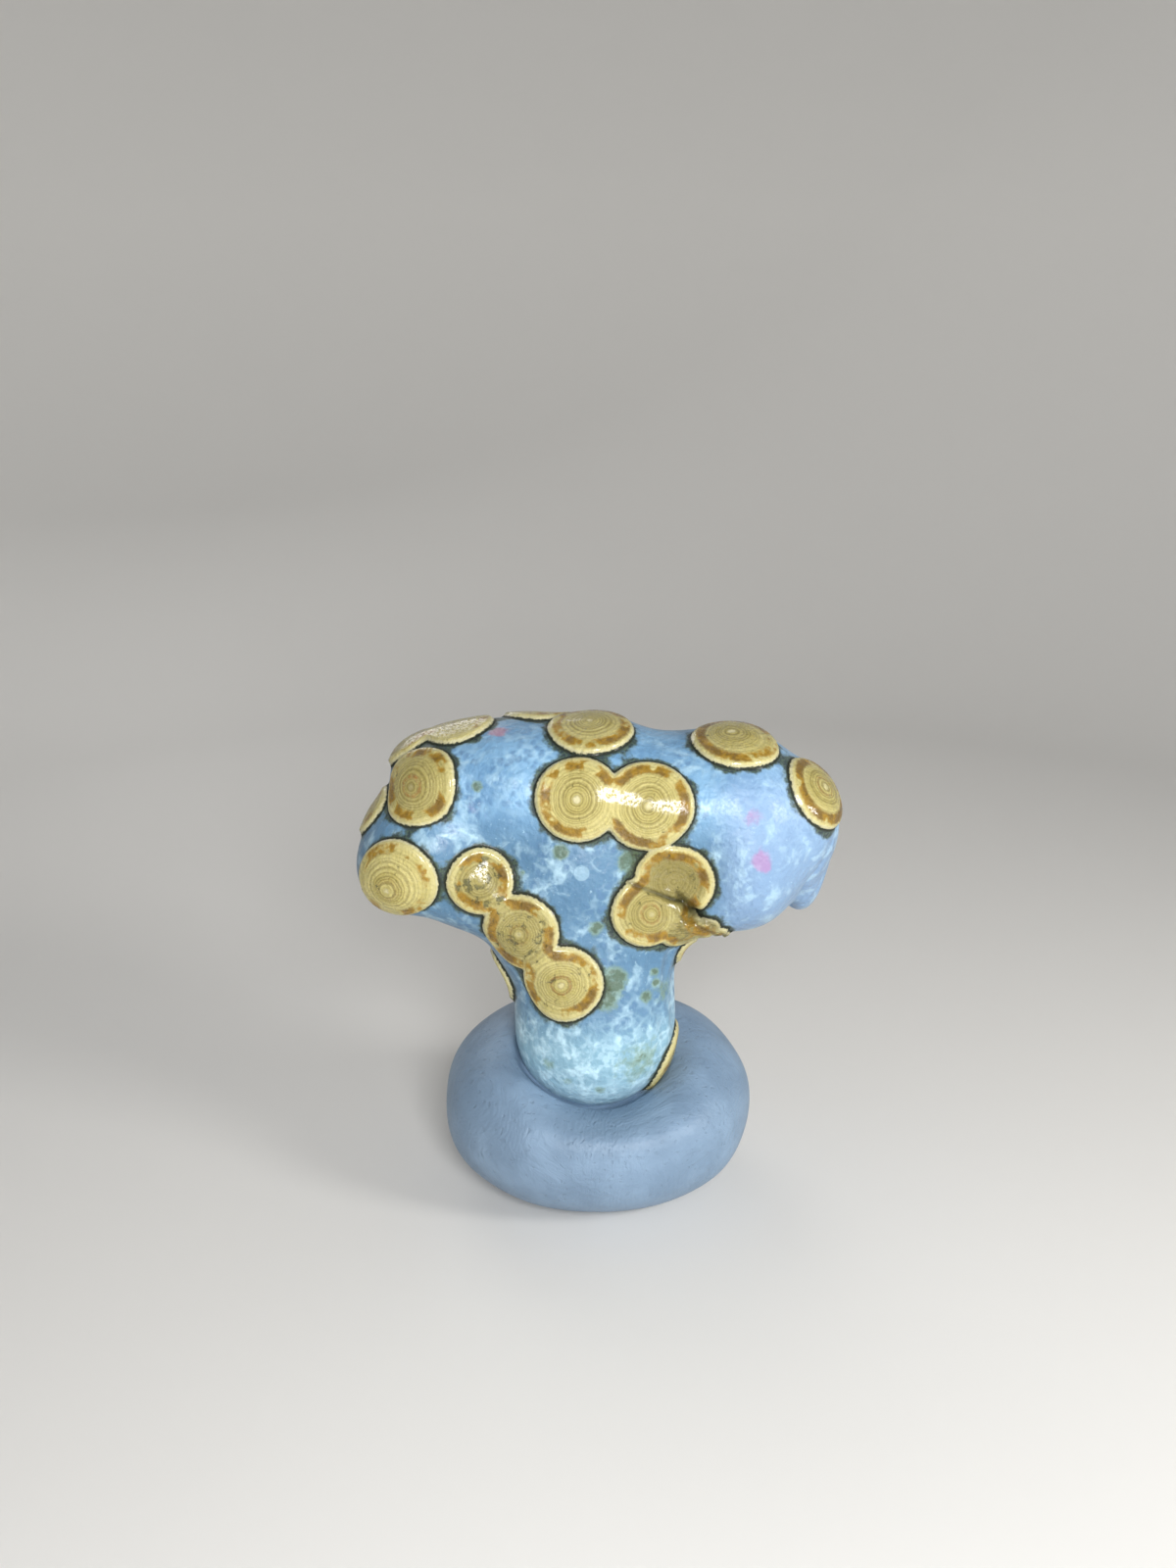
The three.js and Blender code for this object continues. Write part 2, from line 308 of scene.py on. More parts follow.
relief = {
    "settleRounds": 6,      # draws the markings' middles onto the body
    "rise": 0.39,           # height of a marking above the blue stone
    "dome": 0.12,           # extra height at its middle
    "wallInner": 0.35,      # top edge of the wall, inside the radius
    "wallOuter": 0.15,      # foot of the wall, outside the radius
    "fuse": 0.10,           # how softly two touching markings flow together
    "mossFuse": 0.35,       # the same for the moss, which fills narrow gaps
    "exactFrom": 0.3,       # deeper than this, the depth is measured to the rim itself
    "blueStart": (0.0, -0.4),       # the blue stone's own relief fades in between these
    "wobble": 0.10,         # unevenness of the rims
    "wobbleLength": 5.0,
    "wobbleSeed": 3,
    "fluteHeight": 0.14,    # upright ripples on the right of the neck
    "fluteLength": 1.5,
    "fluteStretch": (1, 1, 0.25),
    "fluteSeed": 8,
    "fluteX": (1.0, 3.0),   # they fade in between these
    "fluteY": (0.0, -2.0),
    "fluteZ": (14, 17, 22, 24),     # and are whole between the middle two
}

creases = {
    # first and last height, first and last width, darkness of the painted shade, then the path
    "foldMouth": (-0.2, -1.8, 0.12, 0.50, 1.0,
                  [(5.9, -4.0, 28.0), (6.2, -4.2, 27.6), (6.8, -4.6, 26.9), (7.4, -4.7, 26.2)]),
    "foldLip": (-0.25, -0.35, 0.18, 0.20, 1.1,
                [(2.1, -4.7, 29.0), (3.6, -4.4, 28.2), (4.5, -4.3, 27.8), (5.5, -4.3, 27.4),
                 (6.4, -4.4, 27.2)]),
    "stripOver": (-0.7, -0.1, 0.30, 0.2, 0.9, [(7.4, -4.7, 26.2), (8.9, -4.4, 25.3), (10.4, -2.4, 23.7)]),
    "stripUnder": (-0.45, -0.15, 0.26, 0.22, 0.8,
                   [(6.6, -4.7, 26.0), (7.6, -4.6, 25.4), (8.6, -4.2, 24.9), (9.8, -2.8, 23.9)]),
    "stripRidge": (0.22, 0.05, 0.28, 0.24, 0.0, [(7.5, -4.7, 25.8), (8.8, -4.3, 25.1), (10.0, -2.7, 23.9)]),
    "bulbFold": (-0.15, -0.4, 0.40, 0.50, 0.0,
                 [(19.1, -0.1, 31.8), (18.1, -1.2, 30.6), (17.9, -0.8, 28.8), (16.7, -0.7, 27.1),
                  (15.9, 3.1, 23.7)]),
    "bulbFoldSmall": (-0.1, -0.25, 0.30, 0.40, 0.0,
                      [(18.9, 0.2, 30.4), (19.0, 2.0, 27.9), (18.2, 2.1, 25.6)]),
    "neckSlit": (-0.15, -0.15, 0.14, 0.12, 0.5, [(3.4, -5.0, 19.7), (3.8, -5.0, 18.3)]),
}

stains = {
    # middle x, y, z, radius, then pink, green and pale, each 0 to 1
    "pinkLow": (12.5, -5.1, 31.0, 0.75, 1.3, 0.0, 0.0),
    "pinkLowTail": (12.9, -5.0, 30.3, 0.5, 0.8, 0.0, 0.0),
    "pinkHigh": (11.9, -4.4, 34.3, 0.9, 0.8, 0.0, 0.0),
    "redTop": (-8.1, 0.4, 39.8, 0.8, 1.3, 0.0, 0.0),
    "rose": (-9.7, -3.6, 34.9, 1.5, 0.3, 0.0, 0.0),
    "paleDot": (-1.5, -5.2, 29.9, 0.62, 0.0, 0.0, 1.0),
    "greenMiddle": (-3.1, -4.8, 31.5, 0.6, 0.0, 1.7, 0.0),
    "greenLeft": (-9.6, -3.3, 36.4, 0.45, 0.0, 1.6, 0.0),
    "greenFoot": (0.0, -6.7, 11.4, 0.5, 0.0, 1.6, 0.0),
    "greenSmall": (-6.1, -4.6, 29.7, 0.3, 0.0, 0.7, 0.0),
    "greenChain": (-0.4, -5.3, 25.3, 0.7, 0.0, 1.2, 0.0),
    "greenNeck": (1.1, -5.8, 21.1, 1.1, 0.0, 1.5, 0.0),
    "greenNeckLow": (0.5, -6.0, 19.2, 1.0, 0.0, 1.0, 0.0),
    "greenNeckRight": (5.0, -3.6, 19.2, 1.4, 0.0, 0.7, 0.0),
    "greenSlit": (3.5, -5.0, 19.3, 0.55, 0.0, 1.4, 0.0),
    "greenStroke": (4.3, -4.5, 21.2, 0.4, 0.0, 1.2, 0.0),
    "greenStrokeLow": (4.4, -4.4, 20.2, 0.35, 0.0, 1.1, 0.0),
    "greenBrow": (2.3, -4.5, 30.6, 1.1, 0.0, 1.4, 0.0),
    "greenDeep": (3.2, -6.1, 14.0, 2.6, 0.0, 0.72, 0.0),
    "greenFootLeft": (-4.2, -5.9, 13.7, 0.8, 0.0, 0.65, 0.0),
    "greenFootLow": (-2.6, -6.4, 12.4, 0.7, 0.0, 0.6, 0.0),
    "backPink": (6.5, 8.0, 30.5, 0.9, 0.9, 0.0, 0.0),
    "backGreen": (-9.0, 7.4, 31.5, 0.7, 0.0, 0.9, 0.0),
    "backGreenLow": (3.4, 4.0, 18.6, 0.9, 0.0, 0.8, 0.0),
}


def markingFields(points, quads):
    # For each point: the distance inside the nearest rim (negative outside), the same
    # spread wide for the moss, the level of its ring, R d / (a + d) with a the distance
    # to the rings' middle and d the depth R minus the distance to the marking's middle,
    # and the marking's traits. Touching markings melt with a soft maximum of d.
    rows = np.array(list(markings.values()))
    centres = settle(rows[:, :3], agate["blend"], relief["settleRounds"])
    away = np.linalg.norm(points[:, None] - centres[None], axis=-1)
    single = rows[:, 3] - away
    nearest = single.argmax(1)
    top = single.max(1)
    wobble = relief["wobble"] * waves(points, relief["wobbleLength"], relief["wobbleSeed"])
    melt = {fuse: top + fuse * np.log(np.exp((single - top[:, None]) / fuse).sum(1)) + wobble
            for fuse in (relief["fuse"], relief["mossFuse"])}
    depth = melt[relief["fuse"]]
    deep = depth > relief["exactFrom"]
    rims = rimPoints(points, quads, depth)
    depth[deep] = np.maximum(depth[deep], nearestDistance(points[deep], rims))
    shifts = np.array([ringShift.get(name, (0, 0, 0)) for name in markings])
    middles = settle(centres + shifts, agate["blend"], relief["settleRounds"])
    plain = np.array([float(name in wrinkled) for name in markings])
    seeds = rows[:, 8] * familySpread % 1
    own = np.maximum(top + wobble, 0)
    toMiddle = np.linalg.norm(points - middles[nearest], axis=-1)
    return {
        "rimDepth": depth,
        "ringLevel": rows[nearest, 3] * own / (toMiddle + own + 1e-6),
        "mossDepth": melt[relief["mossFuse"]],
        "ringMiddle": middles[nearest],
        "ringTraits": np.stack([rows[nearest, 3], seeds[nearest], rows[nearest, 4]], -1),
        "ringMarks": np.stack([rows[nearest, 5], rows[nearest, 6], plain[nearest]], -1),
        "ringTone": rows[nearest, 7],
    }


def stainFields(points):
    # the amounts of pink, green and pale, each stain a bell round its middle
    total = np.zeros((len(points), 3))
    for x, y, z, radius, *amounts in stains.values():
        share = np.exp(-(np.linalg.norm(points - np.array((x, y, z)), axis=1) / radius) ** 2)
        total += share[:, None] * np.array(amounts)
    return np.clip(total, 0, 1)


def creaseFields(points):
    # heights of the folds and the darkness of their painted shade, each a bell across its path, darkest at
    # its end
    height, dark = np.zeros(len(points)), np.zeros(len(points))
    for first, last, thin, wide, darkness, path in creases.values():
        away, share = alongPath(points, path)
        bell = np.exp(-(away / (thin + (wide - thin) * share)) ** 2)
        height += bell * (first + (last - first) * share)
        dark = np.maximum(dark, bell * darkness * (0.5 + 0.5 * share))
    return height, dark


def agateSurface():
    # The body moved out along its normals, p + n h, with h the sum of the creases, the
    # markings' rise and dome, the blue stone's unevenness and the ripples of the neck.
    body, quads = agateBody()
    fields = markingFields(body, quads)
    depth = fields["rimDepth"]
    _, slope = lobeSlope(body, agate["blend"])
    normal = slope / np.linalg.norm(slope, axis=-1, keepdims=True)
    height, dark = creaseFields(body)
    height += relief["rise"] * smoothStep(-relief["wallOuter"], relief["wallInner"], depth)
    height += relief["dome"] * np.clip(depth / fields["ringTraits"][:, 0], 0, 1)
    blue = smoothStep(*relief["blueStart"], depth)
    height += agate["lumpHeight"] * waves(body, agate["lumpLength"], agate["lumpSeed"]) * blue
    x, y, z = body.T
    bottom, fullFrom, fullTo, top = relief["fluteZ"]
    neck = smoothStep(*relief["fluteX"], x) * smoothStep(*relief["fluteY"], y)
    neck = neck * smoothStep(bottom, fullFrom, z) * smoothStep(top, fullTo, z)
    flutes = waves(body * relief["fluteStretch"], relief["fluteLength"], relief["fluteSeed"])
    height += relief["fluteHeight"] * flutes * neck * blue
    points = body + normal * height[:, None]
    points[:, 2] = np.maximum(points[:, 2], agate["footFlat"])
    shift = np.array(agate["shift"])
    fields["ringMiddle"] += shift
    fields["stain"] = stainFields(body)
    # the folds' painted shade, for the material
    fields["creaseDark"] = dark
    return points + shift, quads, fields


# The putty

putty = {
    "shift": (0.2, -1.2, 0.0),
    "middle": (-0.2, 1.2, 7.1),
    "radii": (13.0, 12.0, 8.3),
    "roundness": 2.2,               # 2 is an ellipsoid, more is boxier
    "dishMiddle": (0.3, -3.0),
    "dishRadius": 6.8,
    "dishDepth": 5.6,
    "dishBlend": 5.5,
    "rows": 110,
    "creaseDepth": 0.5,             # where the putty rolls in against the stone
    "creaseWidth": 0.35,
    "dentHeight": 0.12,             # finger dents
    "dentLength": 7.0,
    "dentSeed": 5,
    "dentZ": (0.5, 3.0),            # they begin between these heights
}


def puttySurface():
    # A superellipsoid, |x/a|^n + |y/b|^n + |z/c|^n = 1, lowered by a bell-shaped dish,
    # cut flat at the base, and sunk under the stone where its foot stands.
    directions, quads = cubeDirections(putty["rows"])
    first, _, quads = weld(directions, quads)
    rays = directions.reshape(-1, 3)[first]
    n = putty["roundness"]
    reach = (np.abs(rays / np.array(putty["radii"])) ** n).sum(-1) ** (-1 / n)
    points = rays * reach[:, None] + np.array(putty["middle"])
    x, y, z = points.T
    fade = smoothStep(0, putty["dishBlend"], z - putty["middle"][2])
    away = np.hypot(x - putty["dishMiddle"][0], y - putty["dishMiddle"][1]) / putty["dishRadius"]
    z = z - putty["dishDepth"] * fade * np.exp(-away ** 2)
    points[:, 2] = z
    dents = putty["dentHeight"] * waves(points, putty["dentLength"], putty["dentSeed"])
    points += rays * (dents * smoothStep(*putty["dentZ"], z))[:, None]
    toStone = lobeDistance(points, agate["blend"])
    crease = putty["creaseDepth"] * np.exp(-(np.maximum(toStone, 0) / putty["creaseWidth"]) ** 2)
    points[:, 2] -= crease * fade
    points[:, 2] = np.maximum(points[:, 2], 0)
    return points + np.array(putty["shift"]), quads, {}


# Shader building

def addNode(tree, kind, inputs=None, **settings):
    node = tree.nodes.new(kind)
    for name, value in settings.items():
        setattr(node, name, value)
    for name, value in (inputs or {}).items():
        if isinstance(value, bpy.types.NodeSocket):
            tree.links.new(value, node.inputs[name])
        else:
            node.inputs[name].default_value = value
    return node


def calc(tree, operation, *values):
    return addNode(tree, "ShaderNodeMath", dict(enumerate(values)), operation=operation).outputs[0]


def times(tree, first, *others):
    for other in others:
        first = calc(tree, "MULTIPLY", first, other)
    return first


def plus(tree, first, *others):
    for other in others:
        first = calc(tree, "ADD", first, other)
    return first


def minus(tree, first, second):
    return calc(tree, "SUBTRACT", first, second)


def centred(tree, value):
    # a noise moved down by a half, so that it lies about 0
    return minus(tree, value, 0.5)


def step(tree, value, low, high):
    # 0 below low and 1 above high, smooth between; low may be the larger
    rising = float(high > low)
    inputs = {0: value, 1: min(low, high), 2: max(low, high), 3: 1.0 - rising, 4: rising}
    return addNode(tree, "ShaderNodeMapRange", inputs, interpolation_type="SMOOTHSTEP").outputs[0]


def band(tree, value, middle, halfWidth):
    # 1 at the middle, falling smoothly to 0 a half width away
    away = calc(tree, "ABSOLUTE", minus(tree, value, middle))
    return step(tree, away, halfWidth, 0.0)


def mix(tree, factor, first, second):
    node = addNode(tree, "ShaderNodeMix", {0: factor, 6: first, 7: second}, data_type="RGBA")
    return node.outputs[2]


def noise(tree, position, scale, detail=2.0, roughness=0.5, distortion=0.0):
    # cloudy noise, about 0.3 to 0.7; scale is in cycles per millimetre
    inputs = {"Vector": position, "Scale": scale, "Detail": detail, "Roughness": roughness,
              "Distortion": distortion}
    return addNode(tree, "ShaderNodeTexNoise", inputs).outputs[0]


def lineNoise(tree, along, scale=1.0):
    # noise in one dimension, for lines and bands
    inputs = {"W": along, "Scale": scale, "Detail": 0.0}
    return addNode(tree, "ShaderNodeTexNoise", inputs, noise_dimensions="1D").outputs[0]


def pushAbout(tree, position, scale, detail, reach):
    # the position, moved by a noise of three values times the reach
    warp = addNode(tree, "ShaderNodeTexNoise", {"Vector": position, "Scale": scale, "Detail": detail})
    inputs = {0: warp.outputs[1], 1: (reach, reach, reach), 2: position}
    return addNode(tree, "ShaderNodeVectorMath", inputs, operation="MULTIPLY_ADD").outputs[0]


def split(tree, vector):
    return addNode(tree, "ShaderNodeSeparateXYZ", {0: vector}).outputs


def attribute(tree, name, output="Fac"):
    return addNode(tree, "ShaderNodeAttribute", attribute_name=name).outputs[output]


def newGroup(name, inputs, outputs):
    kinds = {"float": "NodeSocketFloat", "vector": "NodeSocketVector", "colour": "NodeSocketColor"}
    tree = bpy.data.node_groups.new(name, "ShaderNodeTree")
    for label, kind in inputs:
        tree.interface.new_socket(name=label, in_out="INPUT", socket_type=kinds[kind])
    for label, kind in outputs:
        tree.interface.new_socket(name=label, in_out="OUTPUT", socket_type=kinds[kind])
    return tree, tree.nodes.new("NodeGroupInput").outputs, tree.nodes.new("NodeGroupOutput").inputs


def useGroup(tree, group, inputs):
    return addNode(tree, "ShaderNodeGroup", inputs, node_tree=group).outputs


def newMaterial(name, constants):
    # a material with constants on its shader, and the place on the object in millimetres
    material = bpy.data.materials.new(name)
    material.use_nodes = True
    tree = material.node_tree
    shader = tree.nodes["Principled BSDF"]
    for key, value in constants.items():
        shader.inputs[key].default_value = value
    coordinates = addNode(tree, "ShaderNodeTexCoord").outputs["Object"]
    scaled = addNode(tree, "ShaderNodeVectorMath", {0: coordinates, "Scale": 1 / mm}, operation="SCALE")
    return material, tree, shader, scaled.outputs[0]


def addBump(tree, shader, height):
    # the height is in millimetres
    bump = addNode(tree, "ShaderNodeBump", {"Height": height, "Distance": mm, "Strength": 1.0})
    tree.links.new(bump.outputs[0], shader.inputs["Normal"])


# Shared effects

fineGrain = {
    "detail": 3.0,
    "roughness": 0.6,
    "speckSize": 0.7,           # of the grain's own scale
    "speckDetail": 1.0,
    "speckEdges": (0.64, 0.72),
}


def grainGroup():
    # fine grain: a height and a mask of tiny specks
    tree, given, result = newGroup(
        "fineGrain", [("Position", "vector"), ("Scale", "float")],
        [("Height", "float"), ("Specks", "float")])
    g = fineGrain
    fine = noise(tree, given["Position"], given["Scale"], g["detail"], g["roughness"])
    speckScale = times(tree, given["Scale"], g["speckSize"])
    spots = noise(tree, given["Position"], speckScale, g["speckDetail"])
    tree.links.new(fine, result["Height"])
    tree.links.new(step(tree, spots, *g["speckEdges"]), result["Specks"])
    return tree


# The agate's colours. A noise is its features per millimetre, detail, roughness and
# distortion. Edges are the two values between which a noise or a distance turns into a
# mask, and an amount is that mask's strength.

blueColours = {
    # painted shade: the darker blue lower down on the body
    "shadeBelowBlue": srgb(76, 112, 140),
    "deep": srgb(106, 148, 184),
    "middle": srgb(128, 170, 204),
    "blotch": srgb(86, 120, 158),
    "white": srgb(190, 222, 236),
    "lavender": srgb(138, 166, 200),
    "footTone": srgb(144, 184, 202),
    "pink": srgb(178, 112, 166),
    "coral": srgb(186, 104, 112),
    "stainGreen": srgb(120, 144, 116),
    "moss": srgb(70, 84, 54),
    # dark moss, also the colour of the painted shade in the creases
    "darkMossAndShade": srgb(34, 38, 24),
    "footAmount": 0.75,
    "warp": (1.1, 2.0, 0.8),    # size, detail and reach: bends the blotches and the net
    "broadNoise": (0.25, 3.0, 0.55, 0.4),  # broad paler and darker parts
    "broadEdges": (0.38, 0.62),
    "blotchSize": 1.5,          # round darker blotches, and the pale net between them
    "blotchSmooth": 0.3,
    "blotchEdges": (0.52, 0.25),
    "blotchAmount": 0.5,
    "blotchInFoot": 1.3,        # the foot's share at which they would be gone
    "patchNoise": (0.35, 2.0),  # where there are blotches at all
    "patchEdges": (0.38, 0.62),
    "netEdges": (0.42, 0.76),
    "netAmount": 0.26,
    "footCellSize": 0.85,       # the foot's net of white veins
    "veinEdges": (0.20, 0.0),
    "veinAmount": 2.0,
    "veinBreakNoise": (1.8, 3.0),  # makes the veins uneven
    "veinBreak": 0.6,
    "veinPatchNoise": (0.6, 2.0),  # where there are veins at all
    "veinPatchEdges": (0.36, 0.56),
    "cloudNoise": (0.7, 4.0, 0.55, 0.4),
    "cloudLow": 0.50,
    "cloudWidth": 0.18,
    "cloudInFoot": 0.01,
    "fogTop": 0.25,             # strength of the clouds at the top
    "fogDeep": 0.24,            # and what it adds lower down, where the blue has painted shade
    "cloudHeight": 0.05,
    "glintFleckNoise": (3.2, 3.0, 0.6),
    "glintFleckEdges": (0.64, 0.76),
    "glintFleckAmount": 0.5,
    "whiteMost": 0.85,
    "stainNoise": (1.6, 3.0, 0.65),  # breaks up the stains' outlines
    "stainBreak": 1.2,
    "pinkEdges": (0.25, 0.95),
    "pinkAmount": 0.55,
    "coralZ": (37.0, 39.0),     # pink turns coral between these heights
    "greenEdges": (0.30, 0.80),
    "greenAmount": 0.65,
    "mossEdges": (0.75, 1.0),   # the moss at the middle of a green stain
    "mossAmount": 0.6,
    "paleEdges": (0.30, 0.45),
    "paleAmount": 0.32,
}


def cloudedBlueGroup():
    # milky blue: painted shade lower down, darker round blotches, pale clouds, white flecks as painted
    # glints, and the stains
    tree, given, result = newGroup(
        "cloudedBlue",
        [("Position", "vector"), ("Lavender", "float"), ("ShadeBelow", "float"), ("Foot", "float"),
         ("Stain", "vector")],
        [("Colour", "colour"), ("Height", "float")])
    c = blueColours
    place, foot = given["Position"], given["Foot"]
    pushed = pushAbout(tree, place, *c["warp"])
    broad = noise(tree, place, *c["broadNoise"])
    colour = mix(tree, step(tree, broad, *c["broadEdges"]), c["deep"], c["middle"])
    # painted shade: the blue darkens downwards, for light falling from above
    colour = mix(tree, given["ShadeBelow"], colour, c["shadeBelowBlue"])
    colour = mix(tree, given["Lavender"], colour, c["lavender"])
    colour = mix(tree, times(tree, foot, c["footAmount"]), colour, c["footTone"])

    # blotches, with a pale net between them
    cellInputs = {"Vector": pushed, "Scale": c["blotchSize"], "Smoothness": c["blotchSmooth"]}
    cells = addNode(tree, "ShaderNodeTexVoronoi", cellInputs, feature="SMOOTH_F1").outputs[0]
    patch = step(tree, noise(tree, place, *c["patchNoise"]), *c["patchEdges"])
    patch = times(tree, patch, minus(tree, 1.0, given["Lavender"]))
    blotch = times(tree, step(tree, cells, *c["blotchEdges"]), patch,
                   step(tree, foot, c["blotchInFoot"], 0.0))
    colour = mix(tree, times(tree, blotch, c["blotchAmount"]), colour, c["blotch"])
    net = times(tree, step(tree, cells, *c["netEdges"]), patch)

    # the foot's white veins, along the edges of larger cells
    veinInputs = {"Vector": pushed, "Scale": c["footCellSize"]}
    edges = addNode(tree, "ShaderNodeTexVoronoi", veinInputs, feature="DISTANCE_TO_EDGE").outputs[0]
    uneven = times(tree, centred(tree, noise(tree, place, *c["veinBreakNoise"])), c["veinBreak"])
    veins = step(tree, plus(tree, edges, uneven), *c["veinEdges"])
    veinPatch = step(tree, noise(tree, place, *c["veinPatchNoise"]), *c["veinPatchEdges"])
    veins = times(tree, veins, veinPatch, times(tree, foot, c["veinAmount"]))
    net = plus(tree, net, veins)

    # clouds, and white flecks as painted glints
    low = minus(tree, c["cloudLow"], times(tree, foot, c["cloudInFoot"]))
    clouds = noise(tree, place, *c["cloudNoise"])
    cloudInputs = {0: clouds, 1: low, 2: plus(tree, low, c["cloudWidth"])}
    white = addNode(tree, "ShaderNodeMapRange", cloudInputs, interpolation_type="SMOOTHSTEP").outputs[0]
    fog = plus(tree, c["fogTop"], times(tree, given["ShadeBelow"], c["fogDeep"]))
    white = plus(tree, times(tree, white, fog), times(tree, net, c["netAmount"]))
    # painted glints: sparse white flecks
    glintFlecks = step(tree, noise(tree, pushed, *c["glintFleckNoise"]), *c["glintFleckEdges"])
    white = calc(tree, "MINIMUM", white, c["whiteMost"])
    white = calc(tree, "MAXIMUM", white, times(tree, glintFlecks, c["glintFleckAmount"]))
    colour = mix(tree, white, colour, c["white"])

    # stains
    pinkness, greenness, paleness = split(tree, given["Stain"])
    spread = times(tree, noise(tree, place, *c["stainNoise"]), c["stainBreak"])
    spread = minus(tree, spread, c["stainBreak"] / 2)
    greenness = plus(tree, greenness, spread)
    pink = step(tree, plus(tree, pinkness, spread), *c["pinkEdges"])
    pinkTone = mix(tree, step(tree, split(tree, place)[2], *c["coralZ"]), c["pink"], c["coral"])
    colour = mix(tree, times(tree, pink, c["pinkAmount"]), colour, pinkTone)
    green = step(tree, greenness, *c["greenEdges"])
    colour = mix(tree, times(tree, green, c["greenAmount"]), colour, c["stainGreen"])
    core = step(tree, greenness, *c["mossEdges"])
    colour = mix(tree, times(tree, core, c["mossAmount"]), colour, c["moss"])
    pale = step(tree, paleness, *c["paleEdges"])
    colour = mix(tree, times(tree, pale, c["paleAmount"]), colour, c["white"])
    tree.links.new(colour, result["Colour"])
    tree.links.new(times(tree, clouds, c["cloudHeight"]), result["Height"])
    return tree


ringColours = {
    "straw": srgb(199, 188, 124),
    "strawInner": srgb(176, 163, 94),
    "strawDark": srgb(122, 112, 58),
    "line": srgb(124, 112, 56),
    "streak": srgb(96, 84, 44),
    "rim": srgb(198, 190, 138),
    "edge": srgb(206, 202, 168),
    "middle": srgb(220, 212, 168),
    "brown": srgb(150, 114, 12),
    "brownDark": srgb(110, 80, 8),
    "red": srgb(150, 98, 40),
    "speck": srgb(58, 64, 40),
    "middleReach": (0.2, 0.7),  # the exact distance holds up to here, and the level from here
    "wanderNoise": (0.5, 4.0, 0.6),  # how the rings wander off the round
    "wander": 0.40,
    "linesPerMillimetre": 5.6,
    "seedStep": 37.0,           # shifts the lines' order from family to family
    "lineEdges": (0.62, 0.36),
    "lineLeast": 0.25,
    "lineGrain": 0.65,
    "lineReach": (2.4, 1.2),    # the lines fade outwards between these radii
    "lineOuter": 0.45,
    "lineInner": 0.65,
    "grainNoise": (4.0, 3.0, 0.65),
    "innerReach": (2.1, 1.2),   # the inner stone is darker
    "innerAmount": 0.45,
    "bandSize": 0.2,            # broad paler and darker bands
    "bandEdges": (0.40, 0.60),
    "bandAmount": 0.40,
    "mottleNoise": (0.9, 4.0, 0.65),
    "mottle": 1.3,
    "darkReach": (0.3, 1.0),    # a dark marking keeps a paler rim
    "darkAmount": 0.8,
    "streakStretch": (0.9, 0.9, 2.6),
    "streakNoise": (0.9, 3.0, 0.6, 0.5),
    "streakEdges": (0.44, 0.60),
    "streakAmount": 0.6,
    "redRadius": 0.75,          # a reddish ring round the middle
    "redWidth": 0.25,
    "redEdges": (0.35, 0.60),
    "redAmount": 0.7,
    "dotRadius": 0.30,          # the pale dot in the middle
    "dotSoft": 0.07,
    "dotTone": (0.9, 0.1),      # dark markings have none
    "dotAmount": 0.9,
    "dotRed": 0.6,              # what a reddish middle takes off it
    "ragged": 0.4,              # grain in the rim's and the brown patches' outlines
    "rimWidth": 0.62,
    "rimSoft": 0.14,
    "rimAmount": 0.5,
    "edgeWidth": 0.20,
    "edgeSoft": 0.1,
    "edgeAmount": 0.7,
    "darkRim": 0.5,             # what a dark marking takes off both
    "brownNoise": (0.6, 2.0, 0.55),
    "brownEdges": (0.52, 0.61),
    "brownDarkEdges": (0.60, 0.74),
    "brownShare": 0.15,         # how far a marking's own brownness shifts these
    "brownGrain": 0.12,
    "brownDepth": 0.82,         # how far inside the rim the brown patches lie
    "brownWidth": 0.56,
    "brownCore": 0.4,
    "brownAmount": 0.92,
    "pitNoise": (1.3, 4.0, 0.7),
    "pitEdges": (0.66, 0.76),
    "pitShare": 0.16,           # how far a marking's own specks shift these
    "pitDepths": (0.5, 0.9),    # pits keep clear of the rim
    "pitRadii": (0.3, 0.7),     # and of the middle
    "pitAmount": 0.7,
    "lineHeight": -0.006,       # relief in millimetres
    "pitHeight": -0.05,
    "brownHeight": -0.03,
    "grainHeight": 0.13,
    "streakHeight": -0.08,
}


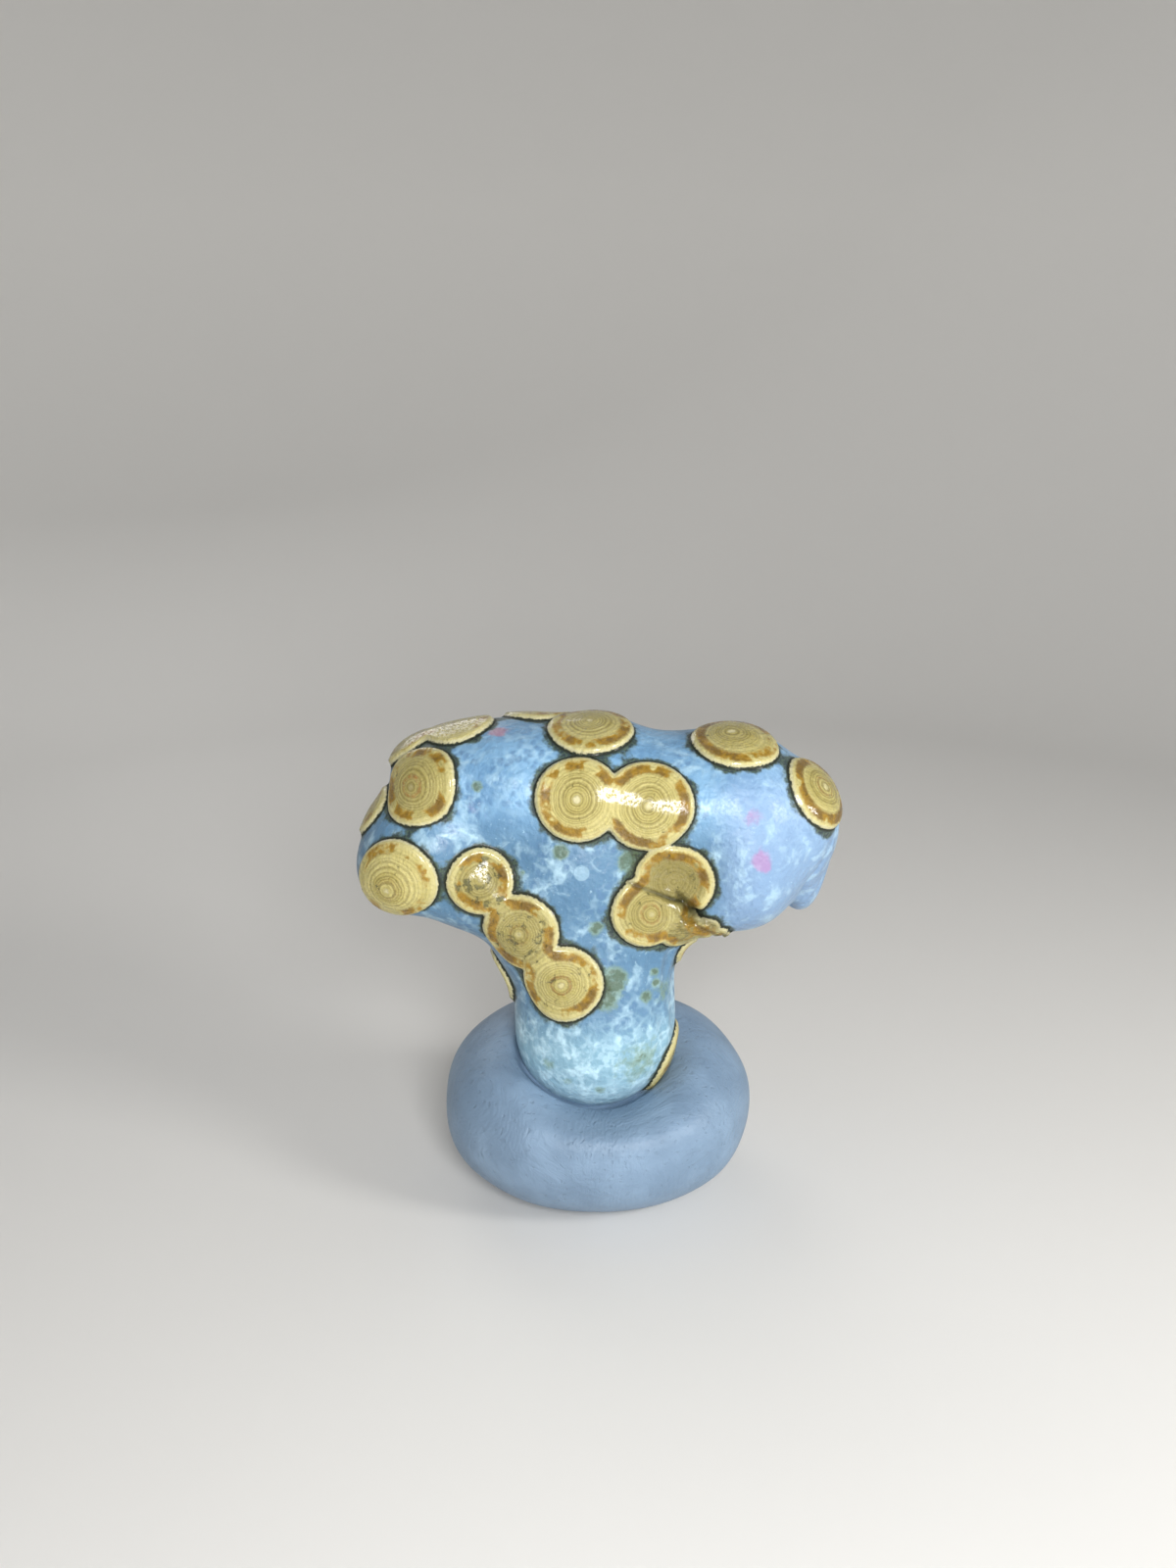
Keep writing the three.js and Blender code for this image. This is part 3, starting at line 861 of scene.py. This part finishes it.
def ringGroup():
    # Concentric lines, set by their level, which is 0 at the rim and the radius at the
    # rings' middle. Close to the middle it is the radius minus the exact distance.
    tree, given, result = newGroup(
        "ringMarking",
        [("Position", "vector"), ("Middle", "vector"), ("Level", "float"), ("Rim Depth", "float"),
         ("Traits", "vector"), ("Marks", "vector"), ("Tone", "float")],
        [("Colour", "colour"), ("Height", "float")])
    c = ringColours
    place, level, depth, dark = given["Position"], given["Level"], given["Rim Depth"], given["Tone"]
    size, seed, brownness = split(tree, given["Traits"])
    specks, redness, wrinkled = split(tree, given["Marks"])
    smooth = minus(tree, 1.0, wrinkled)
    grain = noise(tree, place, *c["grainNoise"])

    # the ring that each place lies on
    ends = {0: place, 1: given["Middle"]}
    away = addNode(tree, "ShaderNodeVectorMath", ends, operation="DISTANCE").outputs["Value"]
    outer = step(tree, away, *c["middleReach"])
    wander = times(tree, centred(tree, noise(tree, place, *c["wanderNoise"])), c["wander"])
    exact = times(tree, minus(tree, size, away), minus(tree, 1.0, outer))
    level = plus(tree, exact, times(tree, level, outer), wander)
    radius = minus(tree, size, level)
    along = plus(tree, times(tree, level, c["linesPerMillimetre"]), times(tree, seed, c["seedStep"]))

    # the straw's own tones
    inner = times(tree, step(tree, radius, *c["innerReach"]), c["innerAmount"])
    bands = times(tree, step(tree, lineNoise(tree, along, c["bandSize"]), *c["bandEdges"]), c["bandAmount"])
    mottle = times(tree, centred(tree, noise(tree, place, *c["mottleNoise"])), c["mottle"])
    colour = mix(tree, plus(tree, inner, bands, mottle), c["straw"], c["strawInner"])
    darkness = times(tree, dark, step(tree, depth, *c["darkReach"]))
    colour = mix(tree, times(tree, darkness, c["darkAmount"]), colour, c["strawDark"])
    stretchInputs = {0: place, 1: c["streakStretch"]}
    stretched = addNode(tree, "ShaderNodeVectorMath", stretchInputs, operation="MULTIPLY").outputs[0]
    streaks = noise(tree, stretched, *c["streakNoise"])
    streaks = times(tree, step(tree, streaks, *c["streakEdges"]), wrinkled)
    colour = mix(tree, times(tree, streaks, c["streakAmount"]), colour, c["streak"])

    # fine lines, the reddish ring and the pale dot
    lines = step(tree, lineNoise(tree, along), *c["lineEdges"])
    strength = plus(tree, c["lineLeast"], times(tree, grain, c["lineGrain"]))
    fade = times(tree, step(tree, radius, *c["lineReach"]), c["lineInner"])
    strength = times(tree, strength, plus(tree, c["lineOuter"], fade), smooth)
    colour = mix(tree, times(tree, lines, strength), colour, c["line"])
    reddish = times(tree, band(tree, radius, c["redRadius"], c["redWidth"]), redness)
    reddish = times(tree, reddish, step(tree, grain, *c["redEdges"]), c["redAmount"])
    colour = mix(tree, reddish, colour, c["red"])
    dot = step(tree, radius, c["dotRadius"] + c["dotSoft"], c["dotRadius"] - c["dotSoft"])
    dot = times(tree, dot, smooth, step(tree, dark, *c["dotTone"]))
    dot = times(tree, dot, minus(tree, c["dotAmount"], times(tree, redness, c["dotRed"])))
    colour = mix(tree, dot, colour, c["middle"])

    # the pale rim, the brown patches inside it and the paler edge
    wide = plus(tree, depth, times(tree, centred(tree, grain), c["ragged"]))
    pale = minus(tree, 1.0, times(tree, dark, c["darkRim"]))
    rim = step(tree, wide, c["rimWidth"] + c["rimSoft"], c["rimWidth"] - c["rimSoft"])
    colour = mix(tree, times(tree, rim, c["rimAmount"], pale), colour, c["rim"])
    patches = plus(tree, noise(tree, place, *c["brownNoise"]),
                   times(tree, brownness, c["brownShare"]),
                   times(tree, centred(tree, grain), c["brownGrain"]))
    offDepth = calc(tree, "ABSOLUTE", minus(tree, wide, c["brownDepth"]))
    brown = times(tree, step(tree, patches, *c["brownEdges"]),
                  step(tree, offDepth, c["brownWidth"], c["brownWidth"] * c["brownCore"]))
    brownTone = mix(tree, step(tree, patches, *c["brownDarkEdges"]), c["brown"], c["brownDark"])
    colour = mix(tree, times(tree, brown, c["brownAmount"]), colour, brownTone)
    edge = step(tree, wide, c["edgeWidth"] + c["edgeSoft"], c["edgeWidth"] - c["edgeSoft"])
    colour = mix(tree, times(tree, edge, c["edgeAmount"], pale), colour, c["edge"])

    # pits
    pits = plus(tree, noise(tree, place, *c["pitNoise"]), times(tree, specks, c["pitShare"]))
    zone = times(tree, step(tree, depth, *c["pitDepths"]), step(tree, radius, *c["pitRadii"]))
    pits = times(tree, step(tree, pits, *c["pitEdges"]), zone)
    colour = mix(tree, times(tree, pits, c["pitAmount"]), colour, c["speck"])

    height = plus(tree, times(tree, lines, c["lineHeight"]), times(tree, pits, c["pitHeight"]),
                  times(tree, brown, c["brownHeight"]), times(tree, grain, c["grainHeight"]),
                  times(tree, streaks, c["streakHeight"]))
    tree.links.new(colour, result["Colour"])
    tree.links.new(height, result["Height"])
    return tree


agateFinish = {
    "shader": {
        "Roughness": 0.33,
        "IOR": 1.54,
        "Specular IOR Level": 0.25,
        "Coat Roughness": 0.13,
        "Subsurface Weight": 0.15,
        "Subsurface Scale": 0.8 * mm,
        "Subsurface Radius": (0.8, 1.0, 1.0),
    },
    "coat": 0.2,
    "markingCoat": 1.0,
    "coatEdges": (0.60, 0.44),  # the coat is broken into fine specks
    "mossRough": 0.12,          # what moss and outlines add to the roughness
    "outlineRough": 0.3,
    "grainSize": 4.5,
    "mossNoise": (0.55, 4.0, 0.65),  # the moss's ragged outline
    "mossRagged": 2.0,
    "mossReach": (-0.55, -0.15),
    "mossDarkEdges": (0.42, 0.60),
    "mossFade": (-0.1, -0.6),
    "mossAmount": 0.9,
    "rimRagged": 0.25,
    "rimEdge": 0.06,
    "outlineWidth": 0.17,       # dark line along a marking's foot
    "outlineAmount": 0.95,
    "outlineHeight": -0.06,
    # strength of the painted shade in the creases
    "creaseShadeAmount": 0.9,
    "sparkle": 0.06,            # height of the fine grain that glitters
    "swell": 0.12,              # height of the wider unevenness, which gives the glints
    "swellNoise": (1.7, 1.0),
    "bulbX": (8.0, 11.5),       # the right bulb turns lavender between these
    "bulbTopZ": (39.5, 35.0),
    "lavender": 0.75,
    "shadeBelowZ": (35.5, 31.0),   # painted shade: the blue darkens downwards between these
    "shadeBelowAmount": 0.72,
    "footZ": (19.0, 14.5),      # the foot turns whiter between these
    "footLightZ": (13.5, 10.0),   # painted light reflected up from the putty: paler still at its lower end
    "footLightAmount": 0.35,
}


def agateMaterial(grain, blue, ring):
    # blue stone and ring markings, with moss along the rims
    f, c = agateFinish, blueColours
    material, tree, shader, place = newMaterial("agate", f["shader"])
    depth = attribute(tree, "rimDepth")
    near = attribute(tree, "mossDepth")
    # painted shade in the folds
    dark = attribute(tree, "creaseDark")
    x, y, z = split(tree, place)
    bulb = times(tree, step(tree, x, *f["bulbX"]), step(tree, z, *f["bulbTopZ"]))
    body = useGroup(tree, blue, {
        "Position": place,
        "Lavender": times(tree, bulb, f["lavender"]),
        # painted shade, darker lower down
        "ShadeBelow": times(tree, step(tree, z, *f["shadeBelowZ"]), f["shadeBelowAmount"]),
        "Foot": step(tree, z, *f["footZ"]),
        "Stain": attribute(tree, "stain", "Vector"),
    })
    rings = useGroup(tree, ring, {
        "Position": place,
        "Middle": attribute(tree, "ringMiddle", "Vector"),
        "Level": attribute(tree, "ringLevel"),
        "Rim Depth": depth,
        "Traits": attribute(tree, "ringTraits", "Vector"),
        "Marks": attribute(tree, "ringMarks", "Vector"),
        "Tone": attribute(tree, "ringTone"),
    })
    fine = useGroup(tree, grain, {"Position": place, "Scale": f["grainSize"]})["Height"]

    # colour: blue with painted light at the foot's lower end, then moss, markings, their outlines and the
    # painted shade in the creases
    # painted light: the foot's lower end made paler, as if lit from the putty
    footLight = times(tree, step(tree, z, *f["footLightZ"]), f["footLightAmount"])
    blueTone = mix(tree, footLight, body["Colour"], c["white"])
    cloud = centred(tree, noise(tree, place, *f["mossNoise"]))
    ragged = plus(tree, near, times(tree, cloud, f["mossRagged"]))
    moss = step(tree, ragged, *f["mossReach"])
    mossTone = mix(tree, step(tree, fine, *f["mossDarkEdges"]), c["darkMossAndShade"], c["moss"])
    mossTone = mix(tree, step(tree, ragged, *f["mossFade"]), mossTone, c["moss"])
    colour = mix(tree, times(tree, moss, f["mossAmount"]), blueTone, mossTone)
    crisp = plus(tree, depth, times(tree, centred(tree, fine), f["rimRagged"]))
    onMarking = step(tree, crisp, 0.0, f["rimEdge"])
    colour = mix(tree, onMarking, colour, rings["Colour"])
    outline = band(tree, crisp, -f["rimEdge"], f["outlineWidth"])
    colour = mix(tree, times(tree, outline, f["outlineAmount"]), colour, c["darkMossAndShade"])
    # painted shade: the creases darkened with the dark moss colour
    colour = mix(tree, times(tree, dark, f["creaseShadeAmount"]), colour, c["darkMossAndShade"])
    tree.links.new(colour, shader.inputs["Base Color"])

    rough = plus(tree, f["shader"]["Roughness"], times(tree, moss, f["mossRough"]),
                 times(tree, outline, f["outlineRough"]))
    tree.links.new(rough, shader.inputs["Roughness"])
    gloss = plus(tree, f["coat"], times(tree, onMarking, f["markingCoat"] - f["coat"]))
    gloss = times(tree, gloss, step(tree, fine, *f["coatEdges"]))
    tree.links.new(gloss, shader.inputs["Coat Weight"])
    swell = noise(tree, place, *f["swellNoise"])
    height = plus(tree, times(tree, rings["Height"], onMarking), times(tree, outline, f["outlineHeight"]),
                  body["Height"], times(tree, fine, f["sparkle"]), times(tree, swell, f["swell"]))
    addBump(tree, shader, height)
    return material


puttyFinish = {
    "shader": {"Roughness": 0.46, "IOR": 1.45},
    "colour": srgb(129, 153, 178),
    "dark": srgb(116, 139, 163),
    "speck": srgb(104, 124, 144),
    "broadNoise": (0.25, 3.0),
    "broadEdges": (0.35, 0.65),
    "speckAmount": 0.2,
    "warp": (0.12, 1.0, 9.0),   # size, detail and reach: bends the ridges
    "ridgeSpacing": 0.46,       # fingerprint ridges, millimetres
    "waveScale": 3.18,          # a wave texture of scale 1 has about this many waves in 1
    "ridgeWander": 0.6,
    "ridgeDetail": 1.0,
    "ridgeHeight": 0.009,
    "touchNoise": (0.16, 2.0),  # where fingers touched the putty
    "touchEdges": (0.40, 0.60),
    "grainSize": 3.2,
    "grainHeight": 0.035,
    "speckHeight": -0.03,
    "kneadNoise": (0.9, 4.0, 0.6, 0.8),  # the uneven, kneaded surface
    "kneadHeight": 0.12,
}


def puttyMaterial(grain):
    # matte putty with fingerprint ridges, kneading marks and specks
    f = puttyFinish
    material, tree, shader, place = newMaterial("putty", f["shader"])
    fine = useGroup(tree, grain, {"Position": place, "Scale": f["grainSize"]})
    broad = noise(tree, place, *f["broadNoise"])
    colour = mix(tree, step(tree, broad, *f["broadEdges"]), f["dark"], f["colour"])
    colour = mix(tree, times(tree, fine["Specks"], f["speckAmount"]), colour, f["speck"])
    tree.links.new(colour, shader.inputs["Base Color"])
    bent = pushAbout(tree, place, *f["warp"])
    waveInputs = {"Vector": bent, "Scale": 1 / f["ridgeSpacing"] / f["waveScale"],
                  "Distortion": f["ridgeWander"], "Detail": f["ridgeDetail"]}
    ridges = addNode(tree, "ShaderNodeTexWave", waveInputs, bands_direction="X").outputs[1]
    touched = step(tree, noise(tree, place, *f["touchNoise"]), *f["touchEdges"])
    kneaded = noise(tree, bent, *f["kneadNoise"])
    height = plus(tree, times(tree, ridges, touched, f["ridgeHeight"]),
                  times(tree, fine["Height"], f["grainHeight"]),
                  times(tree, fine["Specks"], f["speckHeight"]), times(tree, kneaded, f["kneadHeight"]))
    addBump(tree, shader, height)
    return material


# The studio

studio = {
    "camera": (-0.8, -121.2, 73.4),     # millimetres
    "pitchDown": 17.5,                  # degrees below level
    "lens": 36.0,
    "sensor": 36.0,
    "clip": (0.005, 5.0),               # metres
    "floor": {"Base Color": (0.74, 0.73, 0.71, 1), "Roughness": 0.75},
    "worldColour": (0.80, 0.86, 0.95, 1),
    "worldStrength": 0.08,
    "sweepStart": 150.0,                # where the floor begins to curve up
    "sweepRadius": 90.0,
    "wallTop": 330.0,
    "bendSteps": 24,
    "turnSteps": 96,
    "pinhole": 0.01,                    # radius of the floor's first ring, under the putty
    "lamps": {
        # place and aim in millimetres, width and height in millimetres, watts, colour
        "key": ((150, -85, 90), (0, 0, 22), 45, 45, 0.16, (1.0, 0.99, 0.96)),
        "bar": ((22, -160, 92), (0, 0, 30), 46, 64, 0.27, (1.0, 1.0, 1.0)),
        "fill": ((-140, -80, 70), (0, 0, 20), 110, 110, 0.006, (0.93, 0.96, 1.0)),
        "above": ((10, 50, 180), (0, 0, 30), 100, 100, 0.018, (1.0, 1.0, 1.0)),
        "back": ((-70, 150, 120), (0, 0, 25), 90, 90, 0.05, (1.0, 1.0, 1.0)),
    },
}


def sweepSurface():
    # A round floor with a wall all round it, as one profile turned about the upright
    # axis: r runs out to start, then r = start + R sin a and z = R (1 - cos a).
    start, radius = studio["sweepStart"], studio["sweepRadius"]
    bend = np.linspace(0, math.pi / 2, studio["bendSteps"])
    r = np.concatenate([[studio["pinhole"]], start + radius * np.sin(bend), [start + radius]])
    z = np.concatenate([[0.0], radius * (1 - np.cos(bend)), [studio["wallTop"]]])
    around = np.linspace(0, 2 * math.pi, studio["turnSteps"], endpoint=False)
    grid = np.stack([np.cos(around)[:, None] * r, np.sin(around)[:, None] * r,
                     np.broadcast_to(z, (len(around), len(z)))], -1)
    index = np.arange(grid.shape[0] * grid.shape[1]).reshape(grid.shape[:2])
    after = np.roll(index, -1, axis=0)
    quads = np.stack([index[:, :-1], index[:, 1:], after[:, 1:], after[:, :-1]], -1)
    return grid.reshape(-1, 3), quads.reshape(-1, 4)


def makeStudio():
    # the floor, the lamps, the world and the camera
    points, quads = sweepSurface()
    material = newMaterial("paleFloor", studio["floor"])[0]
    makePiece("floorSweep", points, quads, {}, material)
    for name, (place, aim, width, tall, watts, colour) in studio["lamps"].items():
        light = bpy.data.lights.new(name, "AREA")
        light.shape, light.size, light.size_y = "RECTANGLE", width * mm, tall * mm
        light.energy, light.color = watts, colour
        lamp = bpy.data.objects.new(name, light)
        bpy.context.scene.collection.objects.link(lamp)
        lamp.location = np.array(place) * mm
        direction = (np.array(aim) - np.array(place)).tolist()
        lamp.rotation_euler = Vector(direction).to_track_quat("-Z", "Y").to_euler()
    world = bpy.data.worlds.new("studio")
    world.use_nodes = True
    background = world.node_tree.nodes["Background"]
    background.inputs[0].default_value = studio["worldColour"]
    background.inputs[1].default_value = studio["worldStrength"]
    bpy.context.scene.world = world
    camera = bpy.data.cameras.new("camera")
    camera.lens, camera.sensor_width = studio["lens"], studio["sensor"]
    camera.clip_start, camera.clip_end = studio["clip"]
    holder = bpy.data.objects.new("camera", camera)
    bpy.context.scene.collection.objects.link(holder)
    holder.location = np.array(studio["camera"]) * mm
    holder.rotation_euler = (math.radians(90 - studio["pitchDown"]), 0, 0)
    bpy.context.scene.camera = holder
    bpy.context.scene.view_settings.view_transform = "Standard"


grain = grainGroup()
makeStudio()
print("studio ready")

stoneMaterial = agateMaterial(grain, cloudedBlueGroup(), ringGroup())
stone = makePiece("agate", *agateSurface(), stoneMaterial)
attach(stone, "root")
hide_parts("agate_stone")
print("agate ready:", len(stone.data.polygons), "faces")

lump = makePiece("putty", *puttySurface(), puttyMaterial(grain))
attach(lump, "root")
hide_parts("putty_lump")
print("putty ready:", len(lump.data.polygons), "faces")
